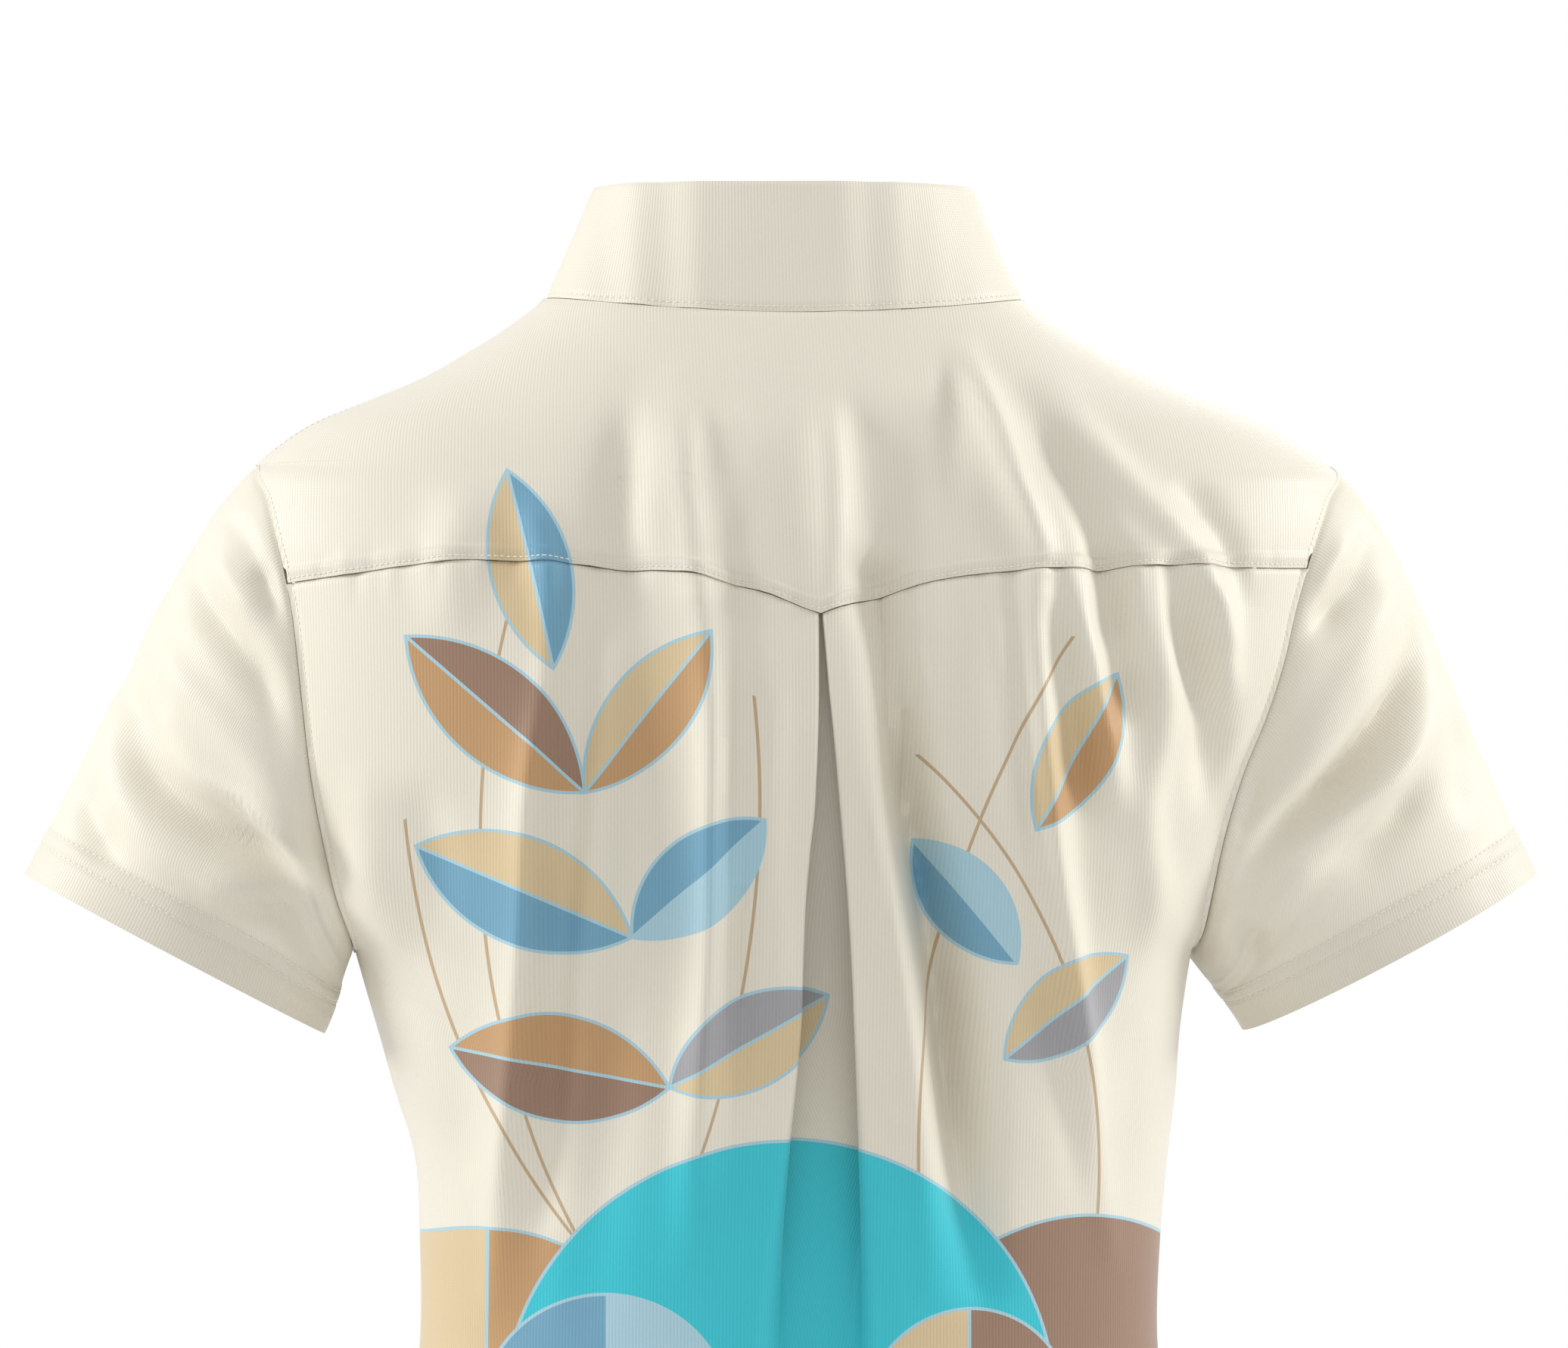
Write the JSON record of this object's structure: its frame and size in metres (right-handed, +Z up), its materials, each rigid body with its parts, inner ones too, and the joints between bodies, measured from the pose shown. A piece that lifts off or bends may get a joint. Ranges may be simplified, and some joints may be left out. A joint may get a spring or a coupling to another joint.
{
  "type": "golf shirt",
  "caption": "Women's short-sleeved golf shirt, worn and filled out, with a stand collar, a pointed back yoke over an inverted box pleat, and a short buttoned front opening.",
  "frame": {"origin": "the middle of the neck at the height of the neck seam, where the wearer's neck and shoulders hold the shirt", "axes": "+Z up through the neck, +X towards the wearer's left sleeve, -Y towards the front"},
  "size_m": [0.582, 0.237, 0.6845],
  "materials": {
    "cream_knit": "cream technical knit with fine upright ribs and a soft sheen",
    "band_knit": "cream technical knit, pressed flat",
    "button": "polished cream resin"
  },
  "bodies": {
    "root": {"collar": "cream_knit", "yoke": "cream_knit", "back": "cream_knit", "front": "cream_knit", "sleeve_left": "cream_knit", "sleeve_right": "cream_knit", "placket_upper": "band_knit", "placket_under": "band_knit", "button_1": "button", "button_2": "button", "button_3": "button"}
  },
  "joints": []
}
